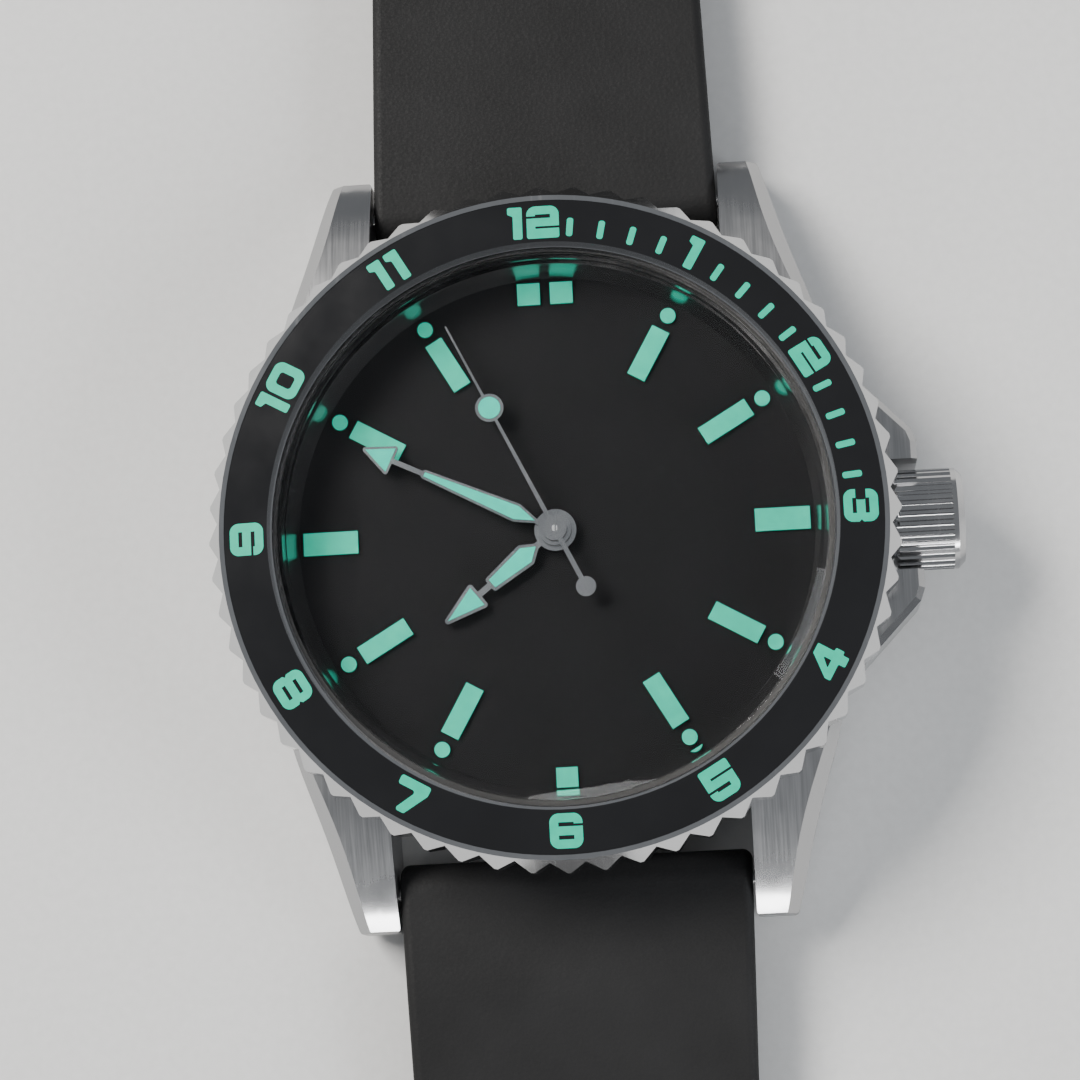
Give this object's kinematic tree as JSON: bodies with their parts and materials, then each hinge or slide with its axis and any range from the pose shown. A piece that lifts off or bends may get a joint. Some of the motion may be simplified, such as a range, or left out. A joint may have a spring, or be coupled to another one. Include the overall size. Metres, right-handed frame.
{
  "type": "dive watch",
  "caption": "Automatic dive watch with a turning black hour bezel, luminous hands and plots, a steel case with crown, and an open black rubber strap with a tang buckle.",
  "frame": {"origin": "centre of the case back's flat face", "axes": "+Z out of the dial, +Y towards 12 o'clock and along the open strap, +X towards the crown"},
  "size_m": [0.0464, 0.2452, 0.0128],
  "materials": {
    "case_steel": "brushed flanks with polished bevels",
    "crown_steel": "satin fluted",
    "bezel_steel": "polished facets",
    "buckle_steel": "brushed",
    "hand_steel": "polished with brushed centre",
    "spring_steel": "plain turned steel",
    "movement_plate": "nickel plated, fine graining",
    "gear_brass": "gilt, fine circular graining",
    "ruby": "polished synthetic ruby",
    "sapphire": "clear polished sapphire",
    "bezel_black": "glossy black ceramic",
    "dial_black": "matte black lacquer",
    "rehaut_steel": "satin turned",
    "dial_lume": "luminous compound, fine grain",
    "hand_lume": "luminous compound, fine grain",
    "bezel_lume": "luminous compound, fine grain",
    "strap_rubber": "matte moulded rubber",
    "seal_rubber": "smooth",
    "holder_plastic": "moulded"
  },
  "bodies": {
    "case": {"mid_case": "case_steel", "case_back": "case_steel", "case_back_gasket": "seal_rubber", "crown_tube": "case_steel", "movement_holder": "holder_plastic", "rehaut_ring": "rehaut_steel", "crystal": "sapphire", "crystal_gasket": "seal_rubber", "bezel_retaining_wire": "spring_steel", "bezel_click_spring": "spring_steel", "dial": "dial_black", "dial_plots": "dial_lume", "spring_bars": "spring_steel", "main_plate": "movement_plate", "barrel_bridge": "movement_plate", "train_bridge": "movement_plate", "balance_cock": "movement_plate", "bridge_screws": "spring_steel", "jewels": "ruby", "barrel_arbor": "spring_steel", "mainspring": "spring_steel", "hairspring": "spring_steel", "automatic_bridge": "movement_plate", "rotor_screw": "spring_steel"},
    "bezel": {"bezel_ring": "bezel_steel", "bezel_insert": "bezel_black", "bezel_numerals": "bezel_lume"},
    "crown_slider": {"crown_gasket": "seal_rubber"},
    "crown": {"crown": "crown_steel", "winding_stem": "spring_steel", "winding_pinion": "spring_steel"},
    "seconds": {"fourth_wheel": "gear_brass", "seconds_hand": "hand_steel", "seconds_hand_lume": "hand_lume"},
    "minutes": {"centre_wheel": "gear_brass", "minute_hand": "hand_steel", "minute_hand_lume": "hand_lume"},
    "hours": {"hour_wheel": "gear_brass", "hour_hand": "hand_steel", "hour_hand_lume": "hand_lume"},
    "motion_wheel": {"minute_wheel": "gear_brass"},
    "third": {"third_wheel": "gear_brass"},
    "barrel": {"barrel_drum": "gear_brass"},
    "escape": {"escape_wheel": "spring_steel"},
    "fork": {"pallet_fork": "spring_steel", "pallet_stones": "ruby"},
    "balance": {"balance_wheel": "gear_brass"},
    "rotor": {"rotor": "movement_plate"},
    "strap_12": {"strap_12": "strap_rubber", "fixed_keeper": "strap_rubber"},
    "strap_6": {"strap_6": "strap_rubber"},
    "sliding_keeper": {"sliding_keeper": "strap_rubber"},
    "buckle": {"buckle_frame": "buckle_steel", "buckle_spring_bar": "spring_steel"},
    "tongue": {"buckle_tongue": "buckle_steel"}
  },
  "joints": [
    {"name": "bezel_turn", "type": "hinge", "parent": "case", "child": "bezel", "pos_m": [0, 0, 0.0105], "axis": [0, 0, 1], "continuous": true},
    {"name": "crown_pull", "type": "slide", "parent": "case", "child": "crown_slider", "axis": [1, 0, 0], "range_m": [0, 0.0019]},
    {"name": "crown_turn", "type": "hinge", "parent": "crown_slider", "child": "crown", "pos_m": [0.022, 0, 0.0049], "axis": [1, 0, 0], "continuous": true},
    {"name": "seconds_turn", "type": "hinge", "parent": "case", "child": "seconds", "pos_m": [0, 0, 0.005], "axis": [0, 0, 1], "continuous": true},
    {"name": "minutes_turn", "type": "hinge", "parent": "case", "child": "minutes", "pos_m": [0, 0, 0.005], "axis": [0, 0, 1], "continuous": true},
    {"name": "hours_turn", "type": "hinge", "parent": "case", "child": "hours", "pos_m": [0, 0, 0.005], "axis": [0, 0, 1], "continuous": true},
    {"name": "motion_wheel_turn", "type": "hinge", "parent": "case", "child": "motion_wheel", "pos_m": [-0.00042, 0.00236, 0.005], "axis": [0, 0, 1], "continuous": true},
    {"name": "third_wheel_turn", "type": "hinge", "parent": "case", "child": "third", "pos_m": [0.00443, -0.00078, 0.005], "axis": [0, 0, 1], "continuous": true},
    {"name": "barrel_turn", "type": "hinge", "parent": "case", "child": "barrel", "pos_m": [-0.00415, 0.00415, 0.005], "axis": [0, 0, 1], "continuous": true},
    {"name": "escape_wheel_turn", "type": "hinge", "parent": "case", "child": "escape", "pos_m": [0.00118, -0.00439, 0.005], "axis": [0, 0, 1], "continuous": true},
    {"name": "pallet_fork_rock", "type": "hinge", "parent": "case", "child": "fork", "pos_m": [-0.00103, -0.00567, 0.005], "axis": [0, 0, 1], "range_deg": [-5, 5]},
    {"name": "balance_swing", "type": "hinge", "parent": "case", "child": "balance", "pos_m": [-0.00398, -0.00737, 0.005], "axis": [0, 0, 1], "range_deg": [-150, 150], "stiffness_Nm_per_rad": 0.0000005},
    {"name": "rotor_turn", "type": "hinge", "parent": "case", "child": "rotor", "pos_m": [0, 0, 0.0025], "axis": [0, 0, 1], "continuous": true},
    {"name": "strap_12_swing", "type": "hinge", "parent": "case", "child": "strap_12", "pos_m": [0, 0.0216, 0.0032], "axis": [1, 0, 0], "range_deg": [-70, 20]},
    {"name": "strap_6_swing", "type": "hinge", "parent": "case", "child": "strap_6", "pos_m": [0, -0.0216, 0.0032], "axis": [-1, 0, 0], "range_deg": [-70, 20]},
    {"name": "sliding_keeper_slide", "type": "slide", "parent": "strap_12", "child": "sliding_keeper", "axis": [0, 1, 0], "range_m": [-0.014, 0.003]},
    {"name": "buckle_swing", "type": "hinge", "parent": "strap_12", "child": "buckle", "pos_m": [0, 0.097, 0.0027], "axis": [1, 0, 0], "range_deg": [-60, 30]},
    {"name": "tongue_lift", "type": "hinge", "parent": "buckle", "child": "tongue", "pos_m": [0, 0.097, 0.0027], "axis": [1, 0, 0], "range_deg": [0, 85]}
  ],
  "couplings": [
    {"joint": "minutes_turn", "follows": "seconds_turn", "ratio": 0.016667},
    {"joint": "hours_turn", "follows": "seconds_turn", "ratio": 0.0013889},
    {"joint": "motion_wheel_turn", "follows": "seconds_turn", "ratio": -0.0055556},
    {"joint": "third_wheel_turn", "follows": "seconds_turn", "ratio": -0.13333},
    {"joint": "barrel_turn", "follows": "seconds_turn", "ratio": -0.0022222},
    {"joint": "escape_wheel_turn", "follows": "seconds_turn", "ratio": -12}
  ]
}
